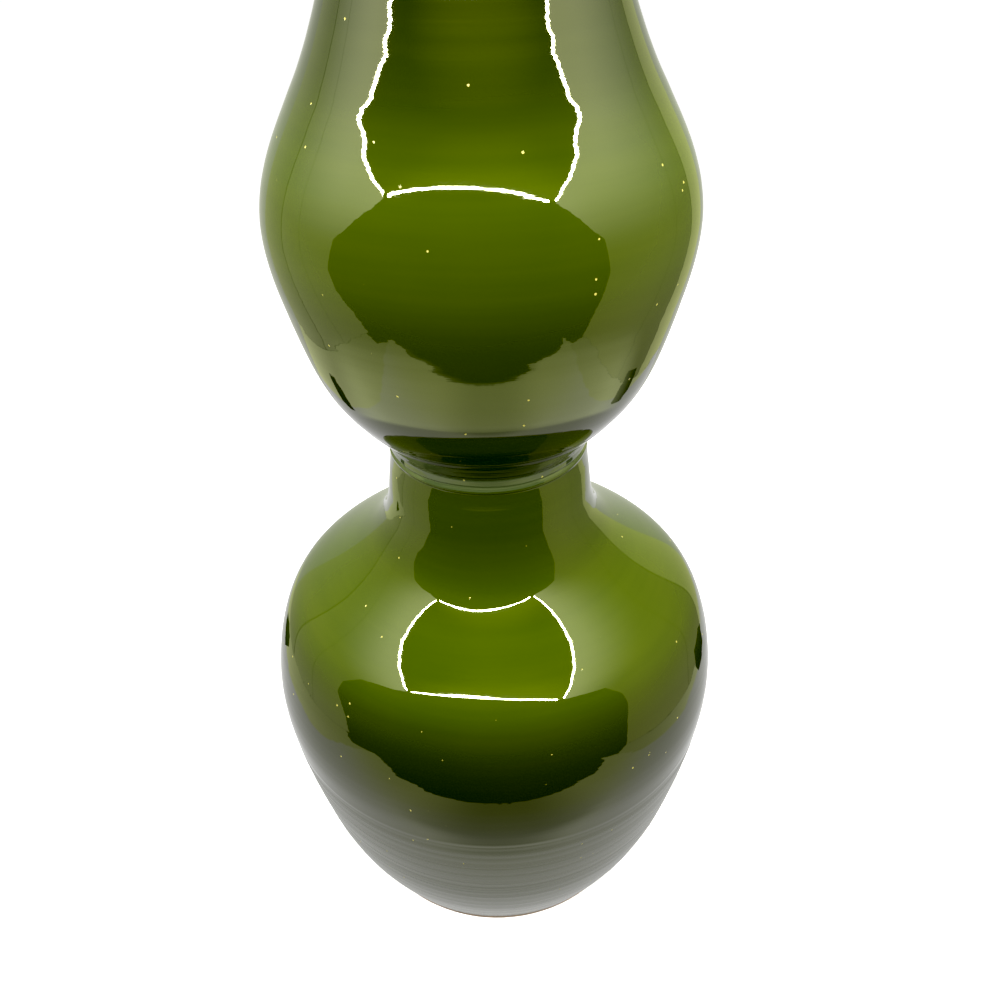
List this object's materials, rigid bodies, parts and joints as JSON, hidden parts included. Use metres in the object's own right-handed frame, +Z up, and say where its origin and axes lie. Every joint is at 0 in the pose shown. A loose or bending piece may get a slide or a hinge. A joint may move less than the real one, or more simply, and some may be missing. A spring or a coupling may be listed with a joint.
{
  "type": "stoneware vase",
  "caption": "Tall double-gourd stoneware vase in glossy olive-green glaze, with a narrow waist, a wide open mouth and a bare foot ring, for holding flowers or standing alone.",
  "frame": {"origin": "centre of the foot ring's resting plane, on the vase's axis", "axes": "+Z up along the vase's axis; X and Y are free, because the vase is round"},
  "size_m": [0.241, 0.241, 0.541],
  "materials": {
    "stoneware": "raw fired stoneware, matt and slightly gritty",
    "bare_foot": "raw fired stoneware, rubbed smooth on the resting face",
    "slip": "fired slip, matt",
    "outer_glaze": "deep glossy olive-green glaze, mirror-like above the belly seam and softer over the turned lower bowl",
    "liner_glaze": "glossy olive-green liner glaze with throwing rings"
  },
  "bodies": {
    "root": {"base_bowl": "stoneware", "foot_ring": "bare_foot", "belly_seam_slip": "slip", "shoulder_section": "stoneware", "waist_seam_slip": "slip", "upper_section": "stoneware", "outer_glaze": "outer_glaze", "liner_glaze": "liner_glaze"}
  },
  "joints": []
}
